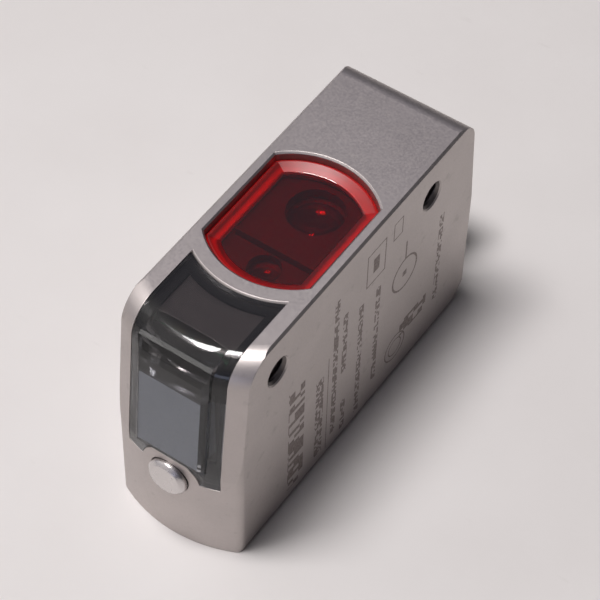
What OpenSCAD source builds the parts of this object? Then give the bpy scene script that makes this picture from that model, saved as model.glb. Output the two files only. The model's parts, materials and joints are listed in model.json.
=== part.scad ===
// Compact laser photoelectric sensor in a stainless housing, lying on its back.
// +Z is the sensing direction, -Y the display and SET button end, +Y the plug end.
// Lengths are in millimetres. Inside the modules y = 0 is the centre of the lens
// window; placed() then moves each piece so the whole sensor is centred on the origin.

/* [Body] */
// Width across the two side faces
body_w = 14; // [11.5:0.1:17]
// Length from the crown of the display end to the plug end
body_len = 40.9; // [38:0.1:50]
// Depth from the back plate to the optical face
body_d = 27; // [26:0.1:33]
// Radius of the bowed display end, seen from above
end_arc_r = 15; // [12:0.1:20]
// Lean of the display end above the button, in degrees
near_lean = 5; // [0:0.5:6]
// Radius of the rolled edge between optical face and display end
roll_r = 3.2; // [2.6:0.1:4]
// Radius of the upright edges beside the display end
side_round = 1; // [0.6:0.1:2]
// Distance from the crown of the display end to the lens window centre
lens_from_end = 19.6; // [19.2:0.1:21]

/* [Walls] */
// Side wall thickness
side_wall = 1.2; // [0.9:0.05:1.5]
// Optical face wall thickness
top_wall = 2.9; // [2.7:0.05:3.3]
// Display end wall thickness
near_wall = 2.5; // [2.3:0.05:2.6]
// Plug end wall thickness
far_wall = 2.4; // [2:0.1:3]
// Back plate thickness
plate_t = 1.2; // [0.8:0.1:1.4]

/* [Mounting holes] */
// Distance between the two M3 holes
hole_pitch = 25.4; // [24:0.1:27]
// Distance from the lens centre to the hole near the display
hole_from_lens = 12.2; // [12.1:0.05:13]
// Depth of the hole axis below the optical face
hole_depth = 4.5; // [4:0.1:5.5]
// Wall radius of the M3 thread
m3_r = 1.25; // [1.2:0.05:1.5]
// Outer radius of the boss around each hole
boss_r = 2; // [1.7:0.1:2.1]

/* [Lens window] */
// Radius of the round ends of the window opening
window_r = 8.15; // [7:0.05:8.3]
// Half width of the window opening between its flats
window_flat = 5.85; // [5:0.05:6]
// Width of the bezel rim around the pane
rim_w = 1.3; // [0.8:0.05:1.6]
// Gap between window and housing all round
window_gap = 0.1; // [0.05:0.01:0.2]

/* [Indicator cover] */
// Half width of the smoked cover
cover_half = 5.15; // [4.8:0.05:5.3]
// Cover wall thickness
cover_t = 1.2; // [1:0.05:1.3]
// Radius about the lens centre of the cover's upper edge
cover_arc_r = 9.95; // [9.6:0.05:10.3]
// Height of the cover's lower tabs above the back face
cover_low = 9.9; // [9.4:0.1:10.4]
// Gap between cover and housing
cover_gap = 0.08; // [0.04:0.01:0.15]

/* [Set button] */
// Radius of the button head
button_r = 2.1; // [1.7:0.05:2.4]
// Height of the button axis above the back face
button_z = 9.3; // [8.8:0.1:9.6]
// How far the button face stands out of the crown
button_proud = 0.7; // [0.5:0.05:1]
// Travel of the button
button_travel = 0.35; // [0.2:0.01:0.38]
// Radial running clearance of button head and stem
button_clear = 0.05; // [0.02:0.01:0.08]
// Radius of the button stem
stem_r = 1; // [0.8:0.05:1.1]

/* [Plug] */
// Outer radius of the M8 thread
m8_r = 4; // [3.6:0.05:4.4]
// Height of the plug axis above the back face
plug_z = 9.9; // [9:0.1:11]
// How far the plug stands out of the body
plug_proud = 6.4; // [5:0.1:8]
// Radial clearance of the plug shank in the housing
plug_clear = 0.03; // [0.01:0.01:0.1]

/* [Hidden] */
$fn = 64;
e = 0.01;

// Ends of the body and of the whole sensor
near_y = -lens_from_end;
far_y = near_y + body_len;
tip_y = near_y - button_proud;
plug_end = far_y + plug_proud;
mid_y = (tip_y + plug_end)/2;
arc_c = near_y + end_arc_r;
cav_half = body_w/2 - side_wall;
cav_top = body_d - top_wall;

// The display end is upright up to here, then leans back
near_lean_z = button_z + button_r + 0.1;
function face_y(z) = near_y + max(0, z - near_lean_z)*tan(near_lean);

// Mounting holes
hole_z = body_d - hole_depth;
hole_ys = [-hole_from_lens, hole_pitch - hole_from_lens];

// Plug end profile: upright to lean_z, then leaning back into a rounded edge
lean = 5;
lean_z = body_d - 12;
far_r = 2.6;
far_cz = body_d - far_r;
far_cy = far_y - (far_cz - lean_z)*tan(lean) - far_r/cos(lean);
back_chamfer = 2;

// Window stack, measured down from the optical face
pocket_d = 2.15;
gasket_t = 0.2;
rim_down = 0.75;
pane_down = 1.2;
rim_edge = 0.2;
ledge_w = 0.85;
window_edge = 0.18;

// Cover seat and light opening
seat_w = 0.95;
cover_gasket_t = 0.3;
seat_d = cover_t + cover_gasket_t;
open_half = cover_half - seat_w;
open_y = -hole_from_lens - boss_r - 0.5;
notch_r = 3.35;
notch_top = button_z + 2.85;
open_low = notch_top + 0.75;

// Raised display block on the cover
block_half = 3.9;
block_proud = 0.3;
block_edge = 0.5;
block_wall = 0.45;

// Front board stack, from the board outwards
board_t = 0.7;
front_y = -hole_from_lens - boss_r - 0.1 - board_t;
inner_y = near_y + near_wall;
switch_t = 0.7;
plunger_y = front_y - switch_t - 0.38;
stem_end = plunger_y - 0.02;
clip_t = 0.25;
clip_r = 1.6;
clip_y = inner_y + 0.05;
floor_y = near_y + 1.6;
head_back = near_y + 0.8;
groove_w = 0.54;
groove_y = head_back - 0.2 - groove_w;
ring_r = 0.25;
display_low = open_low + 0.45;
display_high = body_d - 4.9;

// Boards and optics
main_z = 3.4;
main_t = 0.8;
main_top = main_z + main_t;
sensor_z = 8.5;
sensor_top = sensor_z + 0.8;
frame_top = cav_top - 0.2;
frame_half = cav_half - 0.4;
emit_y = -4.4;
emit_r = 1.6;
recv_y = 3.9;
recv_r = 2.8;
ear_t = 2;
ear_z = frame_top - ear_t;
near_screw = [min(4.2, frame_half - 1.2), -8.4];
far_screw = [min(4.2, frame_half - 1.2), 9.5];
lug_near = -11.5;
lug_far = far_y - 6.2;
lug_x = cav_half - 1.4;
screw_r = 0.6;

// Plug
shell_in = m8_r - 0.9;
shank_r = m8_r - 0.4;
collar_r = m8_r + 0.8;
collar_t = 1;
shank_in = far_y - far_wall - 0.6;
insert_face = far_y + 1.9;
pin_off = 1.25;

module placed() { translate([0, -mid_y, 0]) children(); }

// Runs a 2D shape drawn in (y, z) across the width, centred
module across(w) { rotate([90, 0, 90]) linear_extrude(w, center = true) children(); }

// Runs a 2D shape drawn in (x, z) along the length, centred
module along(len) { rotate([90, 0, 0]) linear_extrude(len, center = true) children(); }

// Cylinder on the Y axis from y0 to y1 at height z
module bar_y(r, y0, y1, z, x = 0, r2 = -1) {
  translate([x, y0, z]) rotate([-90, 0, 0])
    cylinder(r1 = r, r2 = r2 < 0 ? r : r2, h = y1 - y0);
}

module block(x0, x1, y0, y1, z0, z1) {
  translate([x0, y0, z0]) cube([x1 - x0, y1 - y0, z1 - z0]);
}

// Body outline seen from above: bowed end, rounded upright edges, straight sides
module plan_shape(inset, y_end) {
  half = body_w/2 - inset;
  rr = end_arc_r - inset;
  cr = max(side_round - inset, 0.3);
  cx = half - cr;
  cy = arc_c - sqrt(pow(rr - cr, 2) - pow(cx, 2));
  a = atan2(cy - arc_c, cx);
  intersection() {
    translate([0, arc_c]) circle(rr);
    polygon([[0, arc_c], [2*rr*cos(a), arc_c + 2*rr*sin(a)],
      [-2*rr*cos(a), arc_c + 2*rr*sin(a)]]);
  }
  for (s = [-1, 1]) translate([s*cx, cy]) circle(cr);
  translate([-half, cy]) square([2*half, y_end - cy]);
}

// Round puck that carries the leaning display end and its rolled edge, inset all round
module puck(inset) {
  r = roll_r - inset;
  cz = body_d - roll_r;
  cr = end_arc_r - (cz - near_lean_z)*tan(near_lean) - roll_r/cos(near_lean);
  translate([0, arc_c, 0]) rotate_extrude() {
    polygon([[0, -1], [end_arc_r - inset, -1],
      [end_arc_r - inset, near_lean_z - inset*tan(near_lean/2)],
      [cr + (r - e)*cos(near_lean), cz + (r - e)*sin(near_lean)], [cr, cz], [cr, cz + r],
      [0, cz + r]]);
    translate([cr, cz]) circle(r);
  }
}

// Body profile seen from the side, with the plug end shape
module side_profile() {
  polygon([[near_y - 5, 0], [far_y - back_chamfer, 0], [far_y, back_chamfer],
    [far_y, lean_z], [far_cy + far_r*cos(lean), far_cz + far_r*sin(lean)],
    [far_cy, far_cz], [far_cy, body_d], [near_y - 5, body_d]]);
  translate([far_cy, far_cz]) circle(far_r);
}

module outer_body() {
  c = 0.25;
  w = body_w/2;
  intersection() {
    linear_extrude(body_d) plan_shape(0, far_y + 1);
    across(body_w + 2) side_profile();
    union() {
      puck(0);
      block(-body_w, body_w, arc_c, far_y + 2, -1, body_d);
    }
    along(200) polygon([[-w + c, 0], [w - c, 0], [w, c], [w, body_d - c],
      [w - c, body_d], [-w + c, body_d], [-w, body_d - c], [-w, c]]);
  }
}

// Circle with two flats, the window outline
module window_2d(r, f) {
  intersection() {
    circle(r);
    square([2*f, 2*r + 2], center = true);
  }
}

// The same outline growing or shrinking with height
module window_taper(r1, f1, r2, f2, z0, z1) {
  intersection() {
    translate([0, 0, z0]) cylinder(r1 = r1, r2 = r2, h = z1 - z0);
    along(60) polygon([[-f1, z0], [f1, z0], [f2, z1], [-f2, z1]]);
  }
}

// Region in plan and height that the smoked cover fills, grown by g
module cover_region(g) {
  difference() {
    block(-cover_half - g, cover_half + g, near_y - 3, -2, cover_low - g, body_d + 2);
    translate([0, 0, cover_low - 3]) cylinder(r = cover_arc_r - g, h = body_d);
    intersection() {
      bar_y(notch_r - g, near_y - 4, near_y + 6, button_z);
      block(-body_w, body_w, near_y - 4, near_y + 6, 0, notch_top - g);
    }
  }
}

module housing() {
  color([0.62, 0.60, 0.58]) placed() difference() {
    union() {
      difference() {
        outer_body();
        // inside space, a little shorter behind the back plate ledge
        intersection() {
          block(-cav_half, cav_half, near_y, far_y - far_wall, 3, cav_top);
          union() {
            puck(near_wall);
            block(-body_w, body_w, arc_c, far_y, 0, body_d);
          }
        }
        intersection() {
          block(-cav_half, cav_half, near_y, far_y - 3.5, -1, 3 + e);
          union() {
            translate([0, arc_c, -1]) cylinder(r = end_arc_r - near_wall, h = body_d);
            block(-body_w, body_w, arc_c, far_y, -1, body_d);
          }
        }
        translate([0, 0, -1]) linear_extrude(1 + plate_t)
          plan_shape(0.7, far_y - 2.8);
      }
      // bosses that carry the mounting holes across the width
      for (y = hole_ys) {
        translate([0, y, hole_z]) rotate([0, 90, 0])
          cylinder(r = boss_r, h = body_w - 1, center = true);
        block(-cav_half - 0.3, cav_half + 0.3, y - boss_r, y + boss_r, hole_z,
          cav_top + 0.3);
      }
      // lugs for the main board screws and rails behind the front board
      for (p = [[-1, lug_near], [1, lug_near], [-1, lug_far], [1, lug_far]])
        block(p[0] > 0 ? lug_x - 1.1 : -cav_half - 0.3,
          p[0] > 0 ? cav_half + 0.3 : -lug_x + 1.1,
          p[1] - 1.4, p[1] + 1.4, main_top, main_top + 3.4);
      for (s = [-1, 1])
        block(s > 0 ? 3.9 : -cav_half - 0.3, s > 0 ? cav_half + 0.3 : -3.9,
          front_y + board_t, front_y + board_t + 0.9, 10, 13);
    }
    // lens window pocket, its light opening and the fine edge bevel
    translate([0, 0, body_d - pocket_d]) linear_extrude(pocket_d + 1)
      window_2d(window_r, window_flat);
    translate([0, 0, cav_top - 1]) linear_extrude(top_wall + 2)
      window_2d(window_r - ledge_w, window_flat - ledge_w);
    window_taper(window_r, window_flat, window_r + 2*window_edge,
      window_flat + 2*window_edge, body_d - window_edge, body_d + window_edge);
    // seat of the smoked cover
    difference() {
      cover_region(cover_gap);
      puck(seat_d);
    }
    // bevel along the curved upper edge of the seat
    difference() {
      block(-cover_half - cover_gap, cover_half + cover_gap, near_y, -2,
        body_d - window_edge, body_d + 1);
      translate([0, 0, body_d - window_edge])
        cylinder(r1 = cover_arc_r - cover_gap, r2 = cover_arc_r - cover_gap - 1.18,
          h = 1.18);
    }
    // light opening behind the cover
    block(-open_half, open_half, near_y - 2, open_y, open_low, body_d + 1);
    // threaded mounting holes with a lead-in at each side
    for (y = hole_ys) translate([0, y, hole_z]) rotate([0, 90, 0]) {
      cylinder(r = m3_r, h = body_w + 2, center = true);
      for (s = [0, 180]) rotate([s, 0, 0]) translate([0, 0, body_w/2 - 0.4])
        cylinder(r1 = m3_r, r2 = m3_r + 0.7, h = 0.7);
    }
    // stepped bore of the button
    bar_y(button_r + button_clear, near_y - 2, floor_y, button_z);
    bar_y(stem_r + button_clear, near_y, inner_y + 1, button_z);
    bar_y(clip_r + 0.3, inner_y, inner_y + 1, button_z);
    // plug hole
    bar_y(shank_r + plug_clear, far_y - far_wall - 1, far_y + 1, plug_z);
    // tapped holes for the optic frame and board screws
    for (s = [-1, 1]) {
      translate([s*near_screw[0], near_screw[1], cav_top - 1])
        cylinder(r = screw_r, h = 1.8);
      translate([s*far_screw[0], far_screw[1], cav_top - 1])
        cylinder(r = screw_r, h = 2.4);
    }
    translate([-lug_x, lug_near, main_top - 1]) cylinder(r = screw_r, h = 3.6);
    translate([lug_x, lug_far, main_top - 1]) cylinder(r = screw_r, h = 3.6);
  }
}

module back_plate() {
  g = 0.03;
  color([0.66, 0.65, 0.63]) placed()
    linear_extrude(plate_t) plan_shape(0.7 + g, far_y - 2.8 - g);
}

module lens_window() {
  r = window_r - window_gap;
  f = window_flat - window_gap;
  low = body_d - pocket_d + gasket_t;
  top = body_d - rim_down;
  pane = body_d - pane_down;
  color([0.72, 0.03, 0.05, 0.8]) placed() difference() {
    union() {
      translate([0, 0, low]) linear_extrude(top - rim_edge - low) window_2d(r, f);
      window_taper(r, f, r - rim_edge, f - rim_edge, top - rim_edge, top);
    }
    window_taper(r - rim_w, f - rim_w, r - rim_edge - 0.1, f - rim_edge - 0.1,
      pane, top + e);
  }
}

module window_gasket() {
  g = window_gap + 0.05;
  color([0.78, 0.74, 0.72]) placed()
    translate([0, 0, body_d - pocket_d]) linear_extrude(gasket_t) difference() {
      window_2d(window_r - g, window_flat - g);
      window_2d(window_r - ledge_w + 0.05, window_flat - ledge_w + 0.05);
    }
}

// Upper and outer faces of the raised display block, drawn in (y, z)
module block_profile() {
  y0 = face_y(body_d - 3.6) - block_proud;
  y1 = face_y(notch_top) - block_proud;
  polygon([[y0 + roll_r, body_d - 2], [y0 + roll_r + 0.4, body_d - 0.05],
    [y0 + 1.2, body_d - 0.7], [y0 + 0.85, body_d - 0.95], [y0 + 0.25, body_d - 2.1],
    [y0 + 0.07, body_d - 2.8], [y0, body_d - 3.6], [y1, notch_top + block_edge],
    [y1 + block_edge, notch_top], [near_y + cover_t, notch_top],
    [y0 + cover_t, body_d - 2]]);
}

// Plate that fills the pocket behind the display block's face, grown by g, back deep
module display_plate(g, back) {
  low = notch_top + block_wall;
  across(2*(block_half - block_wall + g)) polygon([
    [face_y(low) - block_proud + block_wall - g, low - g],
    [face_y(display_high) - block_proud + block_wall - g, display_high + g],
    [face_y(display_high) + back, display_high + g], [face_y(low) + back, low - g]]);
}

module indicator_cover() {
  color([0.05, 0.05, 0.06, 0.75]) placed() difference() {
    union() {
      intersection() {
        puck(0.04);
        cover_region(0);
      }
      // raised block with bevelled side edges
      intersection() {
        across(2*block_half) block_profile();
        translate([0, near_y - block_proud, near_lean_z]) rotate([-near_lean, 0, 0])
          linear_extrude(body_d) polygon([
            [-block_half, roll_r + 3], [-block_half, block_edge],
            [-block_half + block_edge, 0], [block_half - block_edge, 0],
            [block_half, block_edge], [block_half, roll_r + 3]]);
      }
    }
    puck(cover_t);
    display_plate(0.04, cover_t + 2);
  }
}

module cover_gasket() {
  color([0.09, 0.09, 0.09]) placed() difference() {
    intersection() {
      puck(cover_t + 0.01);
      cover_region(-0.05);
    }
    puck(seat_d - 0.01);
    difference() {
      block(-open_half + 0.02, open_half - 0.02, near_y - 2, -2, open_low - 0.02, body_d + 1);
      translate([0, 0, cover_low]) cylinder(r = cover_arc_r + seat_w, h = body_d);
    }
  }
}

module display_diffuser() {
  half = block_half - block_wall;
  color([0.72, 0.73, 0.74]) placed() {
    display_plate(0, cover_t - 0.2);
    across(2*half) polygon([[face_y(display_low) + 0.5, display_low],
      [face_y(display_high) + 0.5, display_high], [front_y - 1.6, display_high],
      [front_y - 1.6, display_low]]);
  }
}

module display_module() {
  h = display_high - display_low;
  digit_h = (h - 1.2)/3;
  color([0.12, 0.12, 0.13]) placed() difference() {
    block(-3.3, 3.3, front_y - 1.55, front_y, display_low + 0.1, display_high - 0.1);
    // three digit windows, each a frame of slots read with the plug end down
    for (i = [0:2]) translate([0, front_y - 1.6, display_low + 0.6 + i*digit_h]) {
      for (x = [-1.9, 0, 1.9]) translate([x - 0.25, 0, 0.35])
        cube([0.5, 0.6, digit_h - 0.9]);
      for (z = [0, digit_h - 0.45]) translate([-1.5, 0, z]) cube([3, 0.6, 0.3]);
    }
  }
}

module light_guide() {
  color([0.9, 0.9, 0.88, 0.8]) placed() intersection() {
    puck(cover_t + 0.15);
    block(-open_half + 0.4, open_half - 0.4, near_y, front_y - 0.72,
      display_high + 0.25, body_d);
  }
}

module indicator_leds() {
  z = display_high + 1.1;
  color([0.95, 0.85, 0.5]) placed()
    for (x = [-2.2, 0, 2.2]) {
      block(x - 0.6, x + 0.6, front_y - 0.25, front_y, z - 0.4, z + 0.4);
      block(x - 0.4, x + 0.4, front_y - 0.6, front_y - 0.25, z - 0.35, z + 0.35);
    }
}

module front_board() {
  half = 4.3;
  color([0.05, 0.32, 0.18]) placed()
    block(-half, half, front_y, front_y + board_t, main_top + 0.6, cav_top - 0.2);
}

module switch_body() {
  color([0.2, 0.2, 0.22]) placed() difference() {
    union() {
      block(-1.6, 1.6, front_y - switch_t, front_y, button_z - 1.6, button_z + 1.6);
      for (s = [-1, 1], t = [-1, 1])
        block(s > 0 ? 1.6 : -2.1, s > 0 ? 2.1 : -1.6, front_y - 0.2, front_y,
          button_z + t*1.1 - 0.3, button_z + t*1.1 + 0.3);
    }
    bar_y(0.75, front_y - switch_t - 1, front_y - 0.15, button_z);
  }
}

module switch_plunger() {
  color([0.85, 0.83, 0.76]) placed()
    bar_y(0.7, plunger_y, front_y - 0.15 - button_travel - 0.05, button_z);
}

module set_button() {
  c = 0.35;
  color([0.75, 0.74, 0.72]) placed() difference() {
    union() {
      bar_y(button_r - c, tip_y, tip_y + c, button_z, r2 = button_r);
      bar_y(button_r, tip_y + c, head_back, button_z);
      bar_y(stem_r, head_back - e, stem_end, button_z);
    }
    difference() {
      bar_y(button_r + 1, groove_y, groove_y + groove_w, button_z);
      bar_y(button_r + button_clear - 0.03 - 2*ring_r, groove_y - 1, groove_y + 2, button_z);
    }
    difference() {
      bar_y(stem_r + 1, clip_y, clip_y + clip_t, button_z);
      bar_y(stem_r - 0.25, clip_y - 1, clip_y + 2, button_z);
    }
  }
}

// Coil drawn as a round wire that follows a helix along the button axis
module button_spring() {
  turns = 2.25;
  per_turn = 20;
  sides = 8;
  wire = 0.08;
  coil = stem_r + 0.3;
  y0 = head_back + wire + 0.02;
  rise = floor_y - wire - 0.02 - y0;
  steps = turns*per_turn;
  points = [for (i = [0:steps]) let (a = 360*i/per_turn)
    for (k = [0:sides - 1]) let (b = 360*k/sides, r = coil + wire*cos(b))
      [r*cos(a), y0 + rise*i/steps + wire*sin(b), button_z + r*sin(a)]];
  walls = [for (i = [0:steps - 1], k = [0:sides - 1]) let (n = (k + 1) % sides)
    [i*sides + k, (i + 1)*sides + k, (i + 1)*sides + n, i*sides + n]];
  color([0.7, 0.7, 0.7]) placed() polyhedron(points, concat(walls,
    [[for (k = [0:sides - 1]) k], [for (k = [sides - 1:-1:0]) steps*sides + k]]), 4);
}

module button_oring() {
  ring_c = button_r + button_clear - 0.02 - ring_r;
  color([0.06, 0.06, 0.06]) placed()
    translate([0, groove_y + groove_w/2, button_z]) rotate([-90, 0, 0])
      rotate_extrude() translate([ring_c, 0]) circle(ring_r, $fn = 32);
}

module button_clip() {
  color([0.5, 0.5, 0.5]) placed() difference() {
    bar_y(clip_r, clip_y, clip_y + clip_t, button_z);
    bar_y(stem_r - 0.24, clip_y - 1, clip_y + 1, button_z);
    block(-0.55, 0.55, clip_y - 1, clip_y + 1, button_z - 2, button_z);
  }
}

module optic_frame() {
  color([0.07, 0.07, 0.08]) placed() difference() {
    union() {
      block(-frame_half, frame_half, -7, 8.2, sensor_top, frame_top);
      block(-frame_half, frame_half, -9.8, 10.8, ear_z, frame_top);
    }
    // emitter barrel: lens seat, beam tunnel and laser seat
    translate([0, emit_y, frame_top - 2.2]) cylinder(r = emit_r + 0.05, h = 3);
    translate([0, emit_y, sensor_top + 3.2]) cylinder(r = 1.25, h = 20);
    translate([0, emit_y, sensor_top - 1]) cylinder(r = 1.72, h = 4.4);
    // receiver: lens seat, tapering light box, filter step
    translate([0, recv_y, frame_top - 2.6]) cylinder(r = recv_r + 0.05, h = 4);
    translate([0, recv_y, sensor_top + 3.7]) cylinder(r = recv_r - 0.4, h = 12);
    block(-2.8, 2.8, recv_y - 3, recv_y + 3.5, sensor_top - 1, sensor_top + 3.9);
    // slot for the light baffle
    block(-4.65, 4.65, -2.6, -2.18, frame_top - 5.05, frame_top + 1);
    // screw passages
    for (s = [-1, 1]) {
      translate([s*near_screw[0], near_screw[1], ear_z - 1]) cylinder(r = screw_r, h = 4);
      translate([s*far_screw[0], far_screw[1], ear_z - 1]) cylinder(r = screw_r, h = 4);
    }
    for (p = [[-1, -5.9], [1, 7.1]])
      translate([p[0]*(frame_half - 1.1), p[1], sensor_top - 1]) cylinder(r = screw_r, h = 4);
  }
}

// Lens blank: the space shared by two balls, trimmed to a round edge
module lens_blank(r, bulge, edge) {
  ball = (r*r + bulge*bulge)/(2*bulge);
  intersection() {
    cylinder(r = r, h = 2*(bulge + edge), center = true);
    translate([0, 0, edge/2 + bulge - ball]) sphere(ball);
    translate([0, 0, -edge/2 - bulge + ball]) sphere(ball);
  }
}

module emitter_lens() {
  color([0.85, 0.9, 0.95, 0.5]) placed()
    translate([0, emit_y, frame_top - 1.2]) lens_blank(emit_r, 0.35, 0.9);
}

module receiver_lens() {
  color([0.85, 0.9, 0.95, 0.5]) placed()
    translate([0, recv_y, frame_top - 1.5]) lens_blank(recv_r, 0.6, 0.9);
}

module laser_diode() {
  z = sensor_top;
  color([0.78, 0.66, 0.36]) placed() translate([0, emit_y, 0]) {
    translate([0, 0, z + 0.05]) cylinder(r = 1.65, h = 0.7);
    translate([0, 0, z + 0.7]) cylinder(r = 1.2, h = 1.8);
    for (a = [30, 150, 270]) rotate([0, 0, a]) translate([0.8, 0, z - 1.6])
      cylinder(r = 0.2, h = 1.8, $fn = 24);
  }
}

module image_sensor() {
  color([0.16, 0.16, 0.2]) placed() {
    block(-1.8, 1.8, recv_y - 2.6, recv_y + 3, sensor_top, sensor_top + 0.7);
    block(-1.4, 1.4, recv_y - 2.1, recv_y + 2.5, sensor_top + 0.7, sensor_top + 1);
  }
}

module band_filter() {
  color([0.6, 0.08, 0.08, 0.7]) placed()
    block(-2.78, 2.78, recv_y - 2.98, recv_y + 3.48, sensor_top + 3.1, sensor_top + 3.7);
}

module light_baffle() {
  color([0.1, 0.1, 0.1]) placed()
    block(-4.6, 4.6, -2.56, -2.22, frame_top - 5, body_d - pocket_d - 0.1);
}

module sensor_board() {
  color([0.05, 0.32, 0.18]) placed() difference() {
    block(-frame_half, frame_half, -9.4, 10.6, sensor_z, sensor_top);
    for (a = [30, 150, 270]) translate([0, emit_y, 0]) rotate([0, 0, a])
      translate([0.8, 0, sensor_z - 1]) cylinder(r = 0.3, h = 3, $fn = 24);
    for (p = [[-1, -5.9], [1, 7.1]])
      translate([p[0]*(frame_half - 1.1), p[1], sensor_z - 1]) cylinder(r = 0.7, h = 3);
  }
}

// Pan head screw pointing along +Z from its head seat at z = 0
module small_screw(len) {
  difference() {
    translate([0, 0, -0.7]) cylinder(r = 1.1, h = 0.7);
    for (a = [0, 90]) rotate([0, 0, a]) translate([-0.6, -0.12, -0.8]) cube([1.2, 0.24, 0.45]);
  }
  translate([0, 0, -e]) cylinder(r = screw_r - 0.03, h = len);
}

module optic_screws() {
  color([0.72, 0.72, 0.72]) placed() for (s = [-1, 1]) {
    translate([s*near_screw[0], near_screw[1], ear_z]) small_screw(ear_t + 0.9);
    translate([s*far_screw[0], far_screw[1], ear_z]) small_screw(ear_t + 1.5);
  }
}

module sensor_screws() {
  color([0.72, 0.72, 0.72]) placed() for (p = [[-1, -5.9], [1, 7.1]])
    translate([p[0]*(frame_half - 1.1), p[1], sensor_z]) small_screw(3.6);
}

module main_board() {
  color([0.05, 0.32, 0.18]) placed() difference() {
    block(-cav_half + 0.4, cav_half - 0.4, near_y + 5.7, far_y - 3.9, main_z, main_top);
    translate([-lug_x, lug_near, main_z - 1]) cylinder(r = 0.7, h = 3);
    translate([lug_x, lug_far, main_z - 1]) cylinder(r = 0.7, h = 3);
  }
}

module processor_chip() {
  color([0.1, 0.1, 0.11]) placed() {
    block(-2.5, 2.5, -1.5, 3.5, main_top + 0.1, main_top + 1);
    for (i = [0:5]) for (s = [-1, 1])
      block(s > 0 ? 2.5 : -3, s > 0 ? 3 : -2.5, -1.2 + i*0.8, -0.9 + i*0.8,
        main_top, main_top + 0.3);
  }
}

module power_parts() {
  y = lug_far - 1.2;
  color([0.3, 0.28, 0.25]) placed() {
    block(-2, 0.6, y - 1.5, y + 1.1, main_top, main_top + 1.8);
    for (i = [0:2]) block(1, 1.9, y - 1.5 + i*1.1, y - 0.8 + i*1.1, main_top, main_top + 0.8);
    translate([0, -8.6, main_top]) cylinder(r = 1.3, h = 2);
  }
}

module shield_can() {
  t = 0.2;
  x = cav_half - 1.3;
  color([0.8, 0.8, 0.82]) placed() difference() {
    block(-x, x, -6, 7, main_top, main_top + 2.2);
    block(-x + t, x - t, -6 + t, 7 - t, main_top - 1, main_top + 2.2 - t);
    for (y = [-4, 0, 4]) translate([0, y + 0.5, main_top]) cylinder(r = 0.6, h = 4);
  }
}

module board_link() {
  color([0.85, 0.83, 0.78]) placed()
    block(-3.2, 3.2, 8.4, 10.2, main_top, sensor_z);
}

module flex_strip() {
  t = 0.15;
  r = 1.2;
  y = front_y + board_t;
  zc = main_top + r + t;
  color([0.75, 0.45, 0.1]) placed() across(4.6) {
    translate([y, zc]) square([t, 2.2]);
    translate([y + r + t, main_top]) square([1.6, t]);
    intersection() {
      translate([y + r + t, zc]) difference() {
        circle(r + t);
        circle(r);
      }
      translate([y - 1, main_top - 1]) square([r + t + 1, r + t + 1]);
    }
  }
}

module board_screws() {
  color([0.72, 0.72, 0.72]) placed() {
    translate([-lug_x, lug_near, main_z]) small_screw(3);
    translate([lug_x, lug_far, main_z]) small_screw(3);
  }
}

module connector_shell() {
  color([0.7, 0.69, 0.67]) placed() difference() {
    union() {
      bar_y(shank_r, shank_in, far_y + 0.1, plug_z);
      bar_y(collar_r, far_y + 0.02, far_y + collar_t, plug_z);
      bar_y(m8_r - 0.55, far_y + collar_t - e, far_y + collar_t + 0.6, plug_z);
      bar_y(m8_r, far_y + collar_t + 0.6, plug_end - 0.4, plug_z);
      bar_y(m8_r, plug_end - 0.4, plug_end, plug_z, r2 = m8_r - 0.4);
    }
    bar_y(shell_in, insert_face - 1, plug_end + 1, plug_z);
    bar_y(shank_r - 0.8, shank_in - 1, insert_face, plug_z);
    // groove for the sealing ring under the collar
    difference() {
      bar_y(shank_r + 0.55, far_y - 1, far_y + 0.45, plug_z);
      bar_y(shank_r - 0.02, far_y - 2, far_y + 1, plug_z);
    }
  }
}

module connector_insert() {
  color([0.08, 0.08, 0.09]) placed() difference() {
    union() {
      bar_y(shank_r - 0.83, shank_in + 0.3, insert_face - 1, plug_z);
      bar_y(shell_in - 0.03, insert_face - 1, insert_face, plug_z);
    }
    for (s = [-1, 1], t = [-1, 1])
      bar_y(0.4, shank_in - 1, insert_face + 1, plug_z + t*pin_off, s*pin_off);
    // keyway on the rim
    block(-0.5, 0.5, insert_face - 0.8, insert_face + 1,
      plug_z + shell_in - 0.8, plug_z + shell_in + 1);
  }
}

module contact_pins() {
  color([0.85, 0.7, 0.3]) placed() for (s = [-1, 1], t = [-1, 1]) {
    bar_y(0.38, shank_in - 0.5, plug_end - 1.4, plug_z + t*pin_off, s*pin_off);
    bar_y(0.38, plug_end - 1.4, plug_end - 1, plug_z + t*pin_off, s*pin_off, r2 = 0.2);
  }
}

module connector_oring() {
  color([0.05, 0.05, 0.05]) placed()
    translate([0, far_y + 0.22, plug_z]) rotate([-90, 0, 0])
      rotate_extrude() translate([shank_r + 0.26, 0]) circle(0.22, $fn = 32);
}

// Four short leads from the pins down to the main board
module lead_wires() {
  y = shank_in - 1.4;
  color([0.6, 0.3, 0.15]) placed() for (s = [-1, 1], t = [-1, 1]) {
    x = s*pin_off;
    z = plug_z + t*pin_off;
    yy = t > 0 ? y - 0.35 : y + 0.45;
    bar_y(0.25, yy, shank_in - 0.5, z, x);
    translate([x, yy, z]) sphere(0.25);
    translate([x, yy, main_top]) cylinder(r = 0.25, h = z - main_top);
  }
}

housing();
back_plate();
lens_window();
window_gasket();
indicator_cover();
cover_gasket();
display_diffuser();
display_module();
light_guide();
indicator_leds();
front_board();
switch_body();
switch_plunger();
set_button();
button_spring();
button_oring();
button_clip();
optic_frame();
emitter_lens();
receiver_lens();
laser_diode();
image_sensor();
band_filter();
light_baffle();
sensor_board();
optic_screws();
sensor_screws();
main_board();
processor_chip();
power_parts();
shield_can();
board_link();
flex_strip();
board_screws();
connector_shell();
connector_insert();
contact_pins();
connector_oring();
lead_wires();
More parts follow.
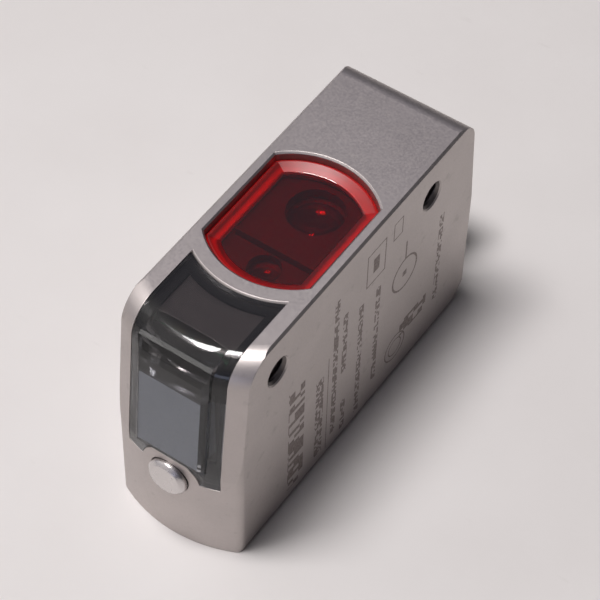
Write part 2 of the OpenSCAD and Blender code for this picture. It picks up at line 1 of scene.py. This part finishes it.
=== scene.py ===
"""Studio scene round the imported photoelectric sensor: finishes, fine detail, lights, camera."""

import json
import math

import bmesh
import bpy
from mathutils import Matrix, Vector


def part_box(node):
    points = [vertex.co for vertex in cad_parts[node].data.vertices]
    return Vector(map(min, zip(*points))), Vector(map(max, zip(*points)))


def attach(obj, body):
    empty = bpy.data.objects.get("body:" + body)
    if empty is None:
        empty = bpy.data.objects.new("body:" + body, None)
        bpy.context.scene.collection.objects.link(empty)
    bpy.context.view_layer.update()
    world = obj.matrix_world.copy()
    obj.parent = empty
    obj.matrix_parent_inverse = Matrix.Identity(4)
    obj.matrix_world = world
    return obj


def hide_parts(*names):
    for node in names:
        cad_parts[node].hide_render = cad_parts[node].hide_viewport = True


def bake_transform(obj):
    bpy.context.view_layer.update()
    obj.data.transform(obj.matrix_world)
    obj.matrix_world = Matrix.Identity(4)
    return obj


MM = 0.001
SIDE_X_MM = 6.9  # just inside the flat side faces
HOLE_DARK_R_MM = 1.7  # covers a threaded hole and its countersink
HOLE_DARK_X_MM = 6.85  # the painted shade stops short of the side faces
RIM_INNER_R_MM = 6.8  # the window's rim starts here, along the body
RIM_INNER_X_MM = 4.5  # and here, across it
CAMERA_AT = (0.07417, -0.11516, 0.18220)
CAMERA_BACK = (0.343, -0.523, 0.780)
CAMERA_UP = (-0.452, 0.636, 0.625)
CAMERA_LENS = 135.37
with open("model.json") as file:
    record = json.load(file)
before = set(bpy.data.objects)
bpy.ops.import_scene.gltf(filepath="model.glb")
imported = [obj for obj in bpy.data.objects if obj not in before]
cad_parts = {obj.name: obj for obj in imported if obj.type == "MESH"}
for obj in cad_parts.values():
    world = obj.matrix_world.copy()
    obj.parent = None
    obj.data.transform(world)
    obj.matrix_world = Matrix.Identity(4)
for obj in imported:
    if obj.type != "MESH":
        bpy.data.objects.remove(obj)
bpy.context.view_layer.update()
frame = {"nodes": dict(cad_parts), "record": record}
mounts = {m["name"]: m for m in frame["record"]["mounts"]}


class Finish:
    """One procedural material, with short calls for the nodes that it is built from."""

    def __init__(self, name, metal=0.0):
        self.mat = bpy.data.materials.new(name)
        self.mat.use_nodes = True
        self.tree = self.mat.node_tree
        self.shader = self.tree.nodes["Principled BSDF"]
        self.output = self.tree.nodes["Material Output"]
        self.place = self.add("ShaderNodeTexCoord").outputs["Object"]
        self.normal = None
        self.set("Metallic", metal)

    def add(self, kind, **settings):
        node = self.tree.nodes.new(kind)
        for key, value in settings.items():
            setattr(node, key, value)
        return node

    def join(self, value, socket):
        if isinstance(value, bpy.types.NodeSocket):
            self.tree.links.new(value, socket)
        else:
            socket.default_value = value

    def set(self, name, value):
        self.join(value, self.shader.inputs[name])

    def math(self, operation, a, b=0.0, c=0.0):
        node = self.add("ShaderNodeMath", operation=operation)
        for value, socket in zip((a, b, c), node.inputs):
            self.join(value, socket)
        return node.outputs[0]

    def away(self, a, b):
        """Length of the two legs a and b of a right triangle."""
        squares = [self.math("MULTIPLY", leg, leg) for leg in (a, b)]
        return self.math("SQRT", self.math("ADD", *squares))

    def noise(self, size, detail=2.0, where=None):
        """Cloudy value from 0 to 1 whose features are about size metres across."""
        node = self.add("ShaderNodeTexNoise")
        node.inputs["Scale"].default_value = 1 / size
        node.inputs["Detail"].default_value = detail
        self.join(where or self.place, node.inputs["Vector"])
        return node.outputs["Fac"]

    def stretched(self, x, y, z):
        """The place on the object with each axis scaled, for grain that runs one way."""
        node = self.add("ShaderNodeMapping")
        self.join(self.place, node.inputs["Vector"])
        node.inputs["Scale"].default_value = (x, y, z)
        return node.outputs["Vector"]

    def remap(self, value, low, high, out_low, out_high):
        node = self.add("ShaderNodeMapRange")
        for number, socket in zip((value, low, high, out_low, out_high), node.inputs):
            self.join(number, socket)
        return node.outputs["Result"]

    def mix(self, share, a, b):
        node = self.add("ShaderNodeMix", data_type="RGBA")
        self.join(share, node.inputs["Factor"])
        for value, socket in ((a, node.inputs[6]), (b, node.inputs[7])):
            self.join(value if isinstance(value, bpy.types.NodeSocket) else (*value, 1.0), socket)
        return node.outputs[2]

    def soften_edges(self, radius):
        """Shades sharp CAD edges as if they were rounded by this radius."""
        node = self.add("ShaderNodeBevel", samples=6)
        node.inputs["Radius"].default_value = radius
        self.normal = node.outputs["Normal"]

    def bump(self, height, depth, strength=1.0):
        node = self.add("ShaderNodeBump")
        node.inputs["Strength"].default_value = strength
        node.inputs["Distance"].default_value = depth
        self.join(height, node.inputs["Height"])
        if self.normal is not None:
            self.join(self.normal, node.inputs["Normal"])
        self.normal = node.outputs["Normal"]

    def let_lamps_through(self, tint):
        """Shadows of this clear piece take its tint instead of going black."""
        path = self.add("ShaderNodeLightPath")
        clear = self.add("ShaderNodeBsdfTransparent")
        clear.inputs["Color"].default_value = (*tint, 1.0)
        both = self.add("ShaderNodeMixShader")
        self.join(path.outputs["Is Shadow Ray"], both.inputs[0])
        self.join(self.shader.outputs[0], both.inputs[1])
        self.join(clear.outputs[0], both.inputs[2])
        self.join(both.outputs[0], self.output.inputs["Surface"])

    def done(self):
        if self.normal is not None:
            self.set("Normal", self.normal)
        return self.mat


def millimetres(f):
    """The x, y and z of the shaded point, in millimetres."""
    axes = f.add("ShaderNodeSeparateXYZ")
    f.join(f.place, axes.inputs[0])
    return [f.math("MULTIPLY", out, 1000.0) for out in axes.outputs]


def etched_marks(f):
    """Share of laser darkening on the +X side: rows of plain cells and simple outlines.

    The rows are random cells, so they hold no lettering, and the outlines are plain shapes.
    """
    x, y, z = millimetres(f)

    def box(y_mid, z_mid, y_half, z_half):
        return f.math("MULTIPLY", f.math("COMPARE", y, y_mid, y_half),
                      f.math("COMPARE", z, z_mid, z_half))

    def cells(y_size, z_size, share):
        grid = f.add("ShaderNodeCombineXYZ")
        f.join(f.math("FLOOR", f.math("DIVIDE", y, y_size)), grid.inputs[0])
        f.join(f.math("FLOOR", f.math("DIVIDE", z, z_size)), grid.inputs[1])
        dice = f.add("ShaderNodeTexWhiteNoise", noise_dimensions="2D")
        f.join(grid.outputs[0], dice.inputs["Vector"])
        return f.math("LESS_THAN", dice.outputs["Value"], share)

    def ring(y_mid, z_mid, radius, width):
        far = f.away(f.math("SUBTRACT", y, y_mid), f.math("SUBTRACT", z, z_mid))
        return f.math("COMPARE", far, radius, width)

    def outline(y_mid, z_mid, y_half, z_half, width):
        return f.math("SUBTRACT", box(y_mid, z_mid, y_half, z_half),
                      box(y_mid, z_mid, y_half - width, z_half - width))

    def together(parts):
        whole = parts[0]
        for part in parts[1:]:
            whole = f.math("MAXIMUM", whole, part)
        return whole

    bold_rows = [box(-12.75, 9.1, 1.3, 7.7), box(7.7, 6.3, 2.4, 1.1)]
    fine_rows = [box(-8.9, 7.6, 0.65, 6.0), box(-6.4, 12.6, 0.4, 10.2), box(-4.7, 3.6, 0.4, 2.3),
                 box(-4.9, 15.0, 0.4, 4.4), box(-2.2, 9.6, 0.4, 8.3), box(0.7, 10.6, 0.4, 7.2),
                 box(11.9, 11.2, 0.4, 6.5)]
    bold = f.math("MULTIPLY", together(bold_rows), cells(0.87, 0.5, 0.66))
    fine = f.math("MULTIPLY", together(fine_rows), cells(0.27, 0.3, 0.62))
    lines = together([box(-7.5, 8.2, 0.06, 7.2), outline(0.0, 21.9, 1.6, 2.3, 0.16),
                      box(0.0, 21.9, 0.5, 1.0), outline(3.6, 23.4, 0.8, 1.2, 0.14),
                      ring(4.6, 4.4, 1.75, 0.09), ring(4.6, 4.4, 1.1, 0.07),
                      ring(5.4, 15.2, 2.1, 0.13), box(5.4, 15.2, 0.35, 0.35),
                      box(5.4, 18.6, 0.13, 1.3)])
    marks = together([bold, f.math("MULTIPLY", fine, 0.95), lines])
    return f.math("MULTIPLY", marks, f.math("GREATER_THAN", x, SIDE_X_MM))


def hole_shade_share(f):
    """Share of painted shade down both threaded holes."""
    x, y, z = millimetres(f)
    share = 0.0
    for name in ("hole_near", "hole_far"):
        _, y_mid, z_mid = (v / MM for v in mounts[name]["pos_m"])
        far = f.away(f.math("SUBTRACT", y, y_mid), f.math("SUBTRACT", z, z_mid))
        share = f.math("ADD", share, f.math("LESS_THAN", far, HOLE_DARK_R_MM))
    deep = f.math("LESS_THAN", f.math("ABSOLUTE", x), HOLE_DARK_X_MM)
    return f.math("MULTIPLY", share, deep)


def satin_steel(name, colour, rough, grain_depth, marks_and_hole_shade=False):
    """Bead-blasted stainless: fine grain, cloudy tone, faint smudges and small scuffs."""
    f = Finish(name, metal=1.0)
    f.soften_edges(0.09 * MM)
    cloud = f.noise(5 * MM, 3)
    fleck = f.noise(0.22 * MM, 3)
    smudge = f.remap(f.noise(1.3 * MM, 4), 0.62, 0.72, 0.0, 1.0)
    scuff = f.remap(f.noise(0.9 * MM, 2, f.stretched(9, 1, 1.4)), 0.66, 0.7, 0.0, 1.0)
    dark = [c * 0.86 for c in colour]
    tone = f.mix(cloud, dark, [min(1.0, c * 1.08) for c in colour])
    tone = f.mix(f.math("MULTIPLY", smudge, 0.22), tone, [c * 0.6 for c in colour])
    roughness = f.math("ADD", f.remap(fleck, 0.3, 0.7, rough - 0.05, rough + 0.05),
                       f.math("MULTIPLY", smudge, 0.05))
    if marks_and_hole_shade:
        burnt = f.math("MULTIPLY", etched_marks(f), f.remap(fleck, 0.3, 0.7, 0.6, 0.9))
        tone = f.mix(burnt, tone, (0.15, 0.12, 0.11))
        roughness = f.math("ADD", roughness, f.math("MULTIPLY", burnt, 0.15))
        # Painted shade: the steel is darkened down the threaded holes.
        tone = f.mix(f.math("MULTIPLY", hole_shade_share(f), 0.8), tone, (0.06, 0.052, 0.05))
    f.set("Base Color", tone)
    f.set("Roughness", roughness)
    f.bump(f.noise(0.07 * MM, 2), grain_depth)
    f.bump(scuff, -0.4 * grain_depth)
    return f.done()


def turned_steel(name, colour, rough, centre=None, edge=0.05 * MM):
    """Machined steel; with a centre, fine turning rings run round that Y axis."""
    f = Finish(name, metal=1.0)
    f.soften_edges(edge)
    wear = f.noise(0.6 * MM, 4)
    f.set("Base Color", f.mix(wear, [c * 0.9 for c in colour], colour))
    f.set("Roughness", f.remap(wear, 0.3, 0.7, rough - 0.03, rough + 0.05))
    if centre is not None:
        x, _, z = millimetres(f)
        far = f.away(x, f.math("SUBTRACT", z, centre[2] / MM))
        f.bump(f.math("SINE", f.math("MULTIPLY", far, 30.0)), 0.0008 * MM)
    f.bump(f.noise(0.12 * MM, 2), 0.0006 * MM)
    return f.done()


def window_rim(f):
    """Share that is 1 on the raised rim of the lens window and 0 on its pane."""
    x, y, _ = millimetres(f)
    far = f.away(x, f.math("SUBTRACT", y, WINDOW_Y / MM))
    return f.math("MAXIMUM", f.math("GREATER_THAN", far, RIM_INNER_R_MM),
                  f.math("GREATER_THAN", f.math("ABSOLUTE", x), RIM_INNER_X_MM))


def clear_plastic(name, colour, rough=0.04, index=1.5, wave=0.004 * MM, light_and_shade_bands=(),
                  rim_glow_colour=None):
    """Clear or tinted moulding, polished, with flow marks and a few fine scratches.

    Bands, given as (lowest z, highest z, colour) in millimetres, swap the tint for painted light
    and shade at those heights.
    With a rim glow colour, the lens window's rim takes that colour, a painted red glow for light
    off the steel ledge behind it, and a frosted surface.
    """
    f = Finish(name)
    flow = f.noise(3 * MM, 2)
    scratch = f.remap(f.noise(0.5 * MM, 2, f.stretched(1, 8, 2)), 0.68, 0.72, 0.0, 1.0)
    tone = f.mix(flow, [c * 0.94 for c in colour], colour)
    z = millimetres(f)[2] if light_and_shade_bands else None
    # Each band paints its own tint over the smoke: painted light and shade by height.
    for low, high, painted_tint in light_and_shade_bands:
        share = f.math("COMPARE", z, (low + high) / 2, (high - low) / 2)
        tone = f.mix(share, tone, painted_tint)
    # Painted glow: the rim is tinted a brighter red for light thrown back by the steel ledge
    # behind it.
    if rim_glow_colour:
        rim = window_rim(f)
        tone = f.mix(rim, tone, rim_glow_colour)
        rough = f.remap(rim, 0.0, 1.0, rough, 0.38)
    f.set("Base Color", tone)
    worn = f.math("ADD", f.remap(flow, 0.3, 0.7, 0.0, 0.03), f.math("MULTIPLY", scratch, 0.06))
    f.set("Roughness", f.math("ADD", rough, worn))
    f.set("IOR", index)
    f.set("Specular IOR Level", 0.14 if rim_glow_colour else 0.5)
    f.set("Transmission Weight", 1.0)
    f.bump(f.math("ADD", flow, f.math("MULTIPLY", scratch, 0.05)), wave)
    f.let_lamps_through([math.sqrt(c) * 0.97 for c in colour])
    return f.done()


def moulded(name, colour, rough=0.5, grain=0.12 * MM, depth=0.004 * MM, spread=0.1):
    """Moulded plastic or rubber: spark-eroded grain and a slight drift in tone."""
    f = Finish(name)
    f.soften_edges(0.05 * MM)
    drift = f.noise(1.6 * MM, 3)
    pit = f.noise(grain, 3)
    f.set("Base Color", f.mix(drift, [c * (1 - spread) for c in colour],
                              [min(1.0, c * (1 + spread)) for c in colour]))
    f.set("Roughness", f.remap(pit, 0.3, 0.7, rough - 0.07, rough + 0.07))
    f.bump(pit, depth)
    return f.done()


def circuit_board(name):
    """Green solder mask over copper runs, with pale pads and a glassy coat."""
    f = Finish(name)
    runs = f.add("ShaderNodeTexVoronoi", distance="MANHATTAN", feature="F1")
    runs.inputs["Scale"].default_value = 1 / (0.9 * MM)
    f.join(f.place, runs.inputs["Vector"])
    stripe = f.math("SINE", f.math("MULTIPLY", runs.outputs["Distance"], 22.0))
    copper = f.remap(stripe, 0.2, 0.5, 0.0, 1.0)
    pad = f.math("LESS_THAN", runs.outputs["Distance"], 0.13)
    green = f.mix(f.noise(2 * MM, 2), (0.012, 0.13, 0.06), (0.02, 0.19, 0.085))
    tone = f.mix(f.math("MULTIPLY", copper, 0.5), green, (0.05, 0.3, 0.12))
    f.set("Base Color", f.mix(pad, tone, (0.75, 0.72, 0.66)))
    f.set("Metallic", f.math("MULTIPLY", pad, 0.9))
    f.set("Roughness", f.remap(f.noise(0.3 * MM), 0.3, 0.7, 0.26, 0.4))
    f.bump(copper, 0.02 * MM, 0.6)
    return f.done()


def brushed_plate(name, colour, rough):
    """Steel sheet brushed along the body."""
    f = Finish(name, metal=1.0)
    f.soften_edges(0.06 * MM)
    streak = f.noise(0.25 * MM, 4, f.stretched(6, 0.35, 6))
    f.set("Base Color", f.mix(streak, [c * 0.84 for c in colour], colour))
    f.set("Roughness", f.remap(streak, 0.3, 0.7, rough - 0.08, rough + 0.08))
    f.bump(streak, 0.004 * MM)
    return f.done()


def wire_cover(name, slots):
    """Extruded wire insulation whose colour changes from lead to lead."""
    f = Finish(name)
    x, _, _ = millimetres(f)
    share = f.math("GREATER_THAN", x, 0.0)
    f.set("Base Color", f.mix(share, slots[0], slots[1]))
    f.set("Roughness", f.remap(f.noise(0.2 * MM), 0.3, 0.7, 0.35, 0.5))
    f.bump(f.noise(0.1 * MM, 2, f.stretched(1, 1, 0.2)), 0.003 * MM)
    return f.done()


def table_top(name):
    """Pale laminate with a faint mottle and a few scuffs."""
    f = Finish(name)
    mottle = f.noise(14 * MM, 5)
    fine = f.noise(0.8 * MM, 3)
    scuff = f.remap(f.noise(6 * MM, 3, f.stretched(1, 3.5, 1)), 0.7, 0.76, 0.0, 1.0)
    tone = f.mix(mottle, (0.80, 0.765, 0.755), (0.865, 0.835, 0.83))
    f.set("Base Color", f.mix(f.math("MULTIPLY", scuff, 0.12), tone, (0.6, 0.57, 0.55)))
    f.set("Roughness", f.remap(fine, 0.3, 0.7, 0.42, 0.55))
    f.bump(fine, 0.01 * MM)
    return f.done()


def mesh_piece(name, bm, material, body="sensor"):
    """Turns a bmesh into a named piece that rides on a CAD body."""
    bmesh.ops.recalc_face_normals(bm, faces=bm.faces)
    data = bpy.data.meshes.new(name)
    bm.to_mesh(data)
    bm.free()
    data.shade_smooth()
    piece = bpy.data.objects.new(name, data)
    bpy.context.scene.collection.objects.link(piece)
    data.materials.append(material)
    if body:
        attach(piece, body)
    return piece


def ring_mesh(rings, closed):
    """Skins a list of equal vertex rings; closed also joins the last ring to the first."""
    bm = bmesh.new()
    rows = [[bm.verts.new(p) for p in ring] for ring in rings]
    pairs = list(zip(rows, rows[1:])) + ([(rows[-1], rows[0])] if closed else [])
    for low, high in pairs:
        count = len(low)
        for i in range(count):
            j = (i + 1) % count
            bm.faces.new((low[i], low[j], high[j], high[i]))
    if not closed:
        bm.faces.new(rows[0])
        bm.faces.new(rows[-1])
    return bm


def tooth(phase):
    """Height from 0 to 1 of a thread with a flat crest and root, once per turn."""
    t = abs(2 * (phase - math.floor(phase)) - 1)
    return min(1.0, max(0.0, (t - 0.12) / 0.7))


def plug_shell():
    """The M8 plug shell with a real helical thread, in place of the plain CAD shell."""
    low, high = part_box("connector_shell")
    mount = mounts["plug_thread"]
    z_mid = mount["pos_m"][2]
    crest = mount["dims"]["r_mm"] * MM
    pitch, depth = 1.0 * MM, 0.55 * MM
    collar = (high.x - low.x) / 2
    collar_out = low.y + 4.0 * MM
    relief_out = collar_out + 0.6 * MM
    shank, bore, throat = crest - 0.4 * MM, crest - 0.9 * MM, crest - 1.2 * MM
    seat = collar_out - 0.1 * MM
    steps = 96
    edge = 0.12 * MM

    def thread_radius(y, angle):
        height = tooth((y - relief_out) / pitch - angle / (2 * math.pi))
        run = min(1.0, (y - relief_out) / (0.5 * pitch), (high.y - y) / (0.4 * MM))
        return crest - depth + depth * height * max(0.0, run)

    collar_in = collar_out - 0.98 * MM
    groove = collar_in + 0.43 * MM
    rings = [(low.y, shank - edge), (low.y + edge, shank), (groove, shank),
             (groove, crest + 0.13 * MM), (collar_in, crest + 0.15 * MM),
             (collar_in, collar - edge), (collar_in + edge, collar),
             (collar_out - edge, collar), (collar_out, collar - edge),
             (collar_out, crest - depth), (relief_out, crest - depth)]
    count = int((high.y - relief_out) / (pitch / 12))
    rings += [(relief_out + (high.y - relief_out) * i / count, None) for i in range(1, count + 1)]
    rings += [(high.y, bore + edge), (high.y - edge, bore), (seat, bore), (seat, throat),
              (low.y + edge, throat), (low.y, throat + edge)]
    points = []
    for y, r in rings:
        angles = [2 * math.pi * i / steps for i in range(steps)]
        radii = [thread_radius(y, a) if r is None else r for a in angles]
        points.append([(q * math.cos(a), y, z_mid + q * math.sin(a))
                       for q, a in zip(radii, angles)])
    piece = mesh_piece("plug_shell", ring_mesh(points, True), nickel)
    piece.data.set_sharp_from_angle(angle=math.radians(38))
    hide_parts("connector_shell")


def return_spring():
    """The button's round-wire return coil, in place of the plain CAD spring."""
    low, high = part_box("button_spring")
    wire = 0.08 * MM
    coil = (high.x - low.x) / 2 - wire
    z_mid = (low.z + high.z) / 2
    turns, steps, sides = 2.25, 126, 14
    head, seat = low.y + wire, high.y - wire
    rings = []
    for i in range(steps + 1):
        angle = 2 * math.pi * turns * i / steps
        y = head + (seat - head) * i / steps
        ring = []
        for k in range(sides):
            around = 2 * math.pi * k / sides
            r = coil + wire * math.cos(around)
            ring.append((r * math.cos(angle), y + wire * math.sin(around),
                         z_mid + r * math.sin(angle)))
        rings.append(ring)
    piece = mesh_piece("return_spring", ring_mesh(rings, False), small_steel, body=None)
    piece.data.set_sharp_from_angle(angle=math.radians(50))
    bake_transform(piece)
    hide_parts("button_spring")


def hole_threads():
    """Helical thread crests standing in both mounting holes."""
    bm = bmesh.new()
    pitch, steps = 0.5 * MM, 32
    section = [(0.01, -0.2), (-0.11, -0.04), (-0.11, 0.04), (0.01, 0.2)]
    for name in ("hole_near", "hole_far"):
        mount = mounts[name]
        _, y_mid, z_mid = mount["pos_m"]
        wall = mount["dims"]["r_mm"] * MM
        half = mount["dims"]["length_mm"] * MM / 2 - 0.05 * MM
        turns = 2 * half / pitch
        rows = []
        for i in range(int(turns * steps) + 1):
            angle = 2 * math.pi * i / steps
            x = -half + pitch * i / steps
            run = min(1.0, i / steps, (turns * steps - i) / steps)
            row = []
            for rise, along in section:
                r = wall + (rise * run if rise < 0 else rise) * MM
                row.append(bm.verts.new((x + along * MM, y_mid + r * math.cos(angle),
                                         z_mid + r * math.sin(angle))))
            rows.append(row)
        for low, high in zip(rows, rows[1:]):
            for k in range(4):
                n = (k + 1) % 4
                bm.faces.new((low[k], low[n], high[n], high[k]))
        bm.faces.new(rows[0])
        bm.faces.new(rows[-1])
    piece = mesh_piece("hole_threads", bm, hole_shaded_steel)
    piece.data.set_sharp_from_angle(angle=math.radians(30))


def plate_outline():
    """Corner points, in order, round the back plate's outer face."""
    bm = bmesh.new()
    bm.from_mesh(frame["nodes"]["back_plate"].data)
    bmesh.ops.remove_doubles(bm, verts=bm.verts, dist=1e-7)
    walls = [e for e in bm.edges
             if all(v.co.z < 1e-6 for v in e.verts)
             and any(abs(f.normal.z) < 0.5 for f in e.link_faces)]
    links = {}
    for e in walls:
        a, b = e.verts
        links.setdefault(a, []).append(b)
        links.setdefault(b, []).append(a)
    start = min(links, key=lambda v: (v.co.y, v.co.x))
    loop, last, here = [start], None, start
    while True:
        step = next((v for v in links[here] if v is not last and v is not start), None)
        if step is None or step in loop:
            break
        loop.append(step)
        last, here = here, step
    points = [v.co.copy() for v in loop]
    bm.free()
    return points


def weld_seam():
    """Rippled laser weld bead that joins the back plate to the housing."""
    corners = plate_outline()
    spacing = 0.05 * MM
    points = []
    for a, b in zip(corners, corners[1:] + corners[:1]):
        count = max(1, int((b - a).length / spacing))
        points += [a.lerp(b, i / count) for i in range(count)]
    middle = sum(points, Vector()) / len(points)
    bm = bmesh.new()
    rows = []
    total = len(points)
    for i, p in enumerate(points):
        ahead = (points[(i + 1) % total] - points[i - 1]).normalized()
        out = Vector((ahead.y, -ahead.x, 0))
        if out.dot(p - middle) < 0:
            out = -out
        ripple = 1 + 0.12 * math.sin(i * 1.1)
        rows.append([bm.verts.new(p + out * across * ripple * MM + Vector((0, 0, up * MM)))
                     for across, up in ((-0.16, 0.01), (-0.1, -0.012), (0.0, -0.018),
                                        (0.1, -0.012), (0.16, 0.01))])
    for low, high in zip(rows, rows[1:] + rows[:1]):
        for k in range(5):
            n = (k + 1) % 5
            bm.faces.new((low[k], low[n], high[n], high[k]))
    mesh_piece("weld_seam", bm, weld_steel)


def weld_finish(name):
    """Weld bead with straw and blue heat colours."""
    f = Finish(name, metal=1.0)
    heat = f.noise(0.5 * MM, 3)
    f.set("Base Color", f.mix(heat, (0.5, 0.44, 0.36), (0.52, 0.54, 0.62)))
    f.set("Roughness", f.remap(f.noise(0.15 * MM), 0.3, 0.7, 0.22, 0.4))
    f.bump(f.noise(0.08 * MM), 0.004 * MM)
    return f.done()


def floor():
    """A wide table top just under the body."""
    bm = bmesh.new()
    bmesh.ops.create_grid(bm, x_segments=12, y_segments=12, size=0.9)
    for v in bm.verts:
        v.co.z = -0.03 * MM
    piece = mesh_piece("table", bm, table_top("table_laminate"), body=None)


def panel(name, toward, distance, size, radiance, colour=(1, 1, 1), stretch=1.0):
    """A soft light that faces the sensor; radiance is its brightness as seen."""
    lamp = bpy.data.lights.new(name, "AREA")
    lamp.shape = "RECTANGLE"
    lamp.size, lamp.size_y = size, size * stretch
    lamp.energy = radiance * math.pi * lamp.size * lamp.size_y
    lamp.color = colour
    place = bpy.data.objects.new(name, lamp)
    bpy.context.scene.collection.objects.link(place)
    back = Vector(toward).normalized()
    place.location = back * distance
    place.rotation_mode = "QUATERNION"
    place.rotation_quaternion = back.to_track_quat("Z", "Y")


def surroundings():
    """A dim room: brighter overhead and near, darker low down and to the far right.

    It only shows in reflections; the panels alone light the matte surfaces.
    """
    world = bpy.data.worlds.new("room")
    bpy.context.scene.world = world
    world.use_nodes = True
    nodes, links = world.node_tree.nodes, world.node_tree.links
    back = nodes["Background"]
    coord = nodes.new("ShaderNodeTexCoord")
    axes = nodes.new("ShaderNodeVectorMath")
    axes.operation = "DOT_PRODUCT"
    links.new(coord.outputs["Generated"], axes.inputs[0])
    axes.inputs[1].default_value = Vector((-0.50, -0.45, 0.74)).normalized()
    ramp = nodes.new("ShaderNodeValToRGB")
    links.new(axes.outputs["Value"], ramp.inputs[0])
    stops = ramp.color_ramp.elements
    stops[0].position, stops[0].color = 0.0, (0.08, 0.08, 0.09, 1)
    stops[1].position, stops[1].color = 1.0, (0.85, 0.82, 0.82, 1)
    middle = stops.new(0.45)
    middle.color = (0.27, 0.265, 0.33, 1)
    links.new(ramp.outputs["Color"], back.inputs["Color"])
    back.inputs["Strength"].default_value = 1.0
    world.cycles_visibility.diffuse = False


def camera():
    data = bpy.data.cameras.new("camera")
    data.sensor_width = 36.0
    data.lens = CAMERA_LENS
    data.clip_start, data.clip_end = 0.01, 10.0
    cam = bpy.data.objects.new("camera", data)
    bpy.context.scene.collection.objects.link(cam)
    back = Vector(CAMERA_BACK).normalized()
    up = Vector(CAMERA_UP)
    right = up.cross(back).normalized()
    up = back.cross(right)
    turn = Matrix((right, up, back)).transposed().to_4x4()
    cam.matrix_world = Matrix.Translation(CAMERA_AT) @ turn
    bpy.context.scene.camera = cam


button_low, button_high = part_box("set_button")
button_centre = (button_low + button_high) / 2
window_low, window_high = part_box("lens_window")
WINDOW_Y = (window_low.y + window_high.y) / 2
STEEL = (0.475, 0.434, 0.418)
small_steel = turned_steel("small_steel", (0.66, 0.66, 0.66), 0.3)
nickel = turned_steel("nickel_plate", (0.70, 0.68, 0.64), 0.22)
# The thread crests get steel painted dark, as painted shade down the holes.
hole_shaded_steel = turned_steel("hole_shaded_steel", (0.17, 0.155, 0.15), 0.35)
weld_steel = weld_finish("weld_steel")
black = moulded("black_plastic", (0.018, 0.018, 0.02), 0.5)
board = circuit_board("board_green")
rubber = moulded("black_rubber", (0.02, 0.02, 0.02), 0.72, 0.2 * MM)
finishes = {
    "housing": satin_steel("housing_steel", STEEL, 0.42, 0.0035 * MM, marks_and_hole_shade=True),
    "back_plate": brushed_plate("plate_steel", (0.62, 0.61, 0.59), 0.32),
    # The window's rim colour is a painted glow: light off the steel ledge seen through the red
    # plate.
    "lens_window": clear_plastic("window_red", (0.62, 0.018, 0.026), 0.05,
                                 rim_glow_colour=(0.80, 0.007, 0.014)),
    "window_gasket": moulded("pale_seal", (0.78, 0.74, 0.72), 0.6),
    # The cover is one smoke; its height bands are painted light and shade: near-black over the
    # raised block, darker over the top, lighter over the display.
    "indicator_cover": clear_plastic("cover_smoke", (0.30, 0.31, 0.32), 0.09, wave=0.0003 * MM,
                                     light_and_shade_bands=((12.4, 22.15, (0.37, 0.38, 0.40)),
                                            (22.15, 25.0, (0.02, 0.02, 0.022)),
                                            (25.0, 27.5, (0.20, 0.185, 0.185)))),
    "cover_gasket": rubber,
    "display_diffuser": moulded("diffuser_grey", (0.86, 0.88, 0.92), 0.3, 0.3 * MM, spread=0.03),
    "display_module": moulded("display_case", (0.12, 0.12, 0.125), 0.4),
    # The light guide is clear plastic; it is painted near-black here, as painted shade under the
    # cover.
    "light_guide": moulded("guide_painted_shade", (0.025, 0.023, 0.023), 0.7, 0.3 * MM, 0.001 * MM),
    "indicator_leds": moulded("led_amber", (0.85, 0.62, 0.28), 0.3, 0.2 * MM),
    "front_board": board,
    "switch_body": moulded("switch_case", (0.05, 0.05, 0.055), 0.4),
    "switch_plunger": moulded("cream_plastic", (0.72, 0.69, 0.6), 0.45),
    "set_button": turned_steel("button_steel", (0.62, 0.59, 0.58), 0.24, button_centre, 0.3 * MM),
    "button_spring": small_steel,
    "button_oring": rubber,
    "button_clip": small_steel,
    "optic_frame": black,
    "emitter_lens": clear_plastic("emitter_glass", (0.93, 0.95, 0.96), 0.01, 1.52),
    "receiver_lens": clear_plastic("receiver_glass", (0.93, 0.95, 0.96), 0.01, 1.52),
    "laser_diode": turned_steel("gold_can", (0.83, 0.62, 0.28), 0.22),
    "image_sensor": moulded("sensor_chip", (0.06, 0.06, 0.09), 0.2, 0.3 * MM),
    "band_filter": clear_plastic("filter_red", (0.5, 0.03, 0.04)),
    "light_baffle": black,
    "sensor_board": board,
    "optic_screws": small_steel,
    "sensor_screws": small_steel,
    "main_board": board,
    "processor_chip": moulded("chip_epoxy", (0.035, 0.035, 0.038), 0.55, 0.08 * MM),
    "power_parts": moulded("part_ceramic", (0.22, 0.19, 0.16), 0.4),
    "shield_can": brushed_plate("tin_plate", (0.72, 0.72, 0.74), 0.3),
    "board_link": moulded("link_plastic", (0.7, 0.66, 0.56), 0.45),
    "flex_strip": moulded("amber_film", (0.5, 0.22, 0.04), 0.3, 0.25 * MM),
    "board_screws": small_steel,
    "connector_shell": nickel,
    "connector_insert": black,
    "contact_pins": turned_steel("gold_pins", (0.86, 0.64, 0.3), 0.2),
    "connector_oring": rubber,
    "lead_wires": wire_cover("lead_cover", ((0.30, 0.12, 0.05), (0.05, 0.12, 0.4))),
}
for node, finish in finishes.items():
    slots = frame["nodes"][node].data.materials
    slots.clear()
    slots.append(finish)

camera()
floor()
plug_shell()
return_spring()
hole_threads()
weld_seam()
surroundings()
panel("top_light", (-0.168, -0.14, 0.976), 0.9, 0.20, 29.5, (1.0, 0.975, 0.97), stretch=1.8)
panel("key_light", (-0.36, -0.62, 0.70), 0.6, 0.07, 2.6, (1.0, 0.98, 0.96))
panel("window_glow", (0.19, -0.97, 0.10), 0.9, 0.30, 1.8, (0.70, 0.76, 1.0), stretch=0.5)
panel("left_panel", (-0.80, -0.10, 0.60), 0.8, 0.45, 0.7, (1.0, 0.985, 0.97))
bpy.context.scene.view_settings.view_transform = "Standard"
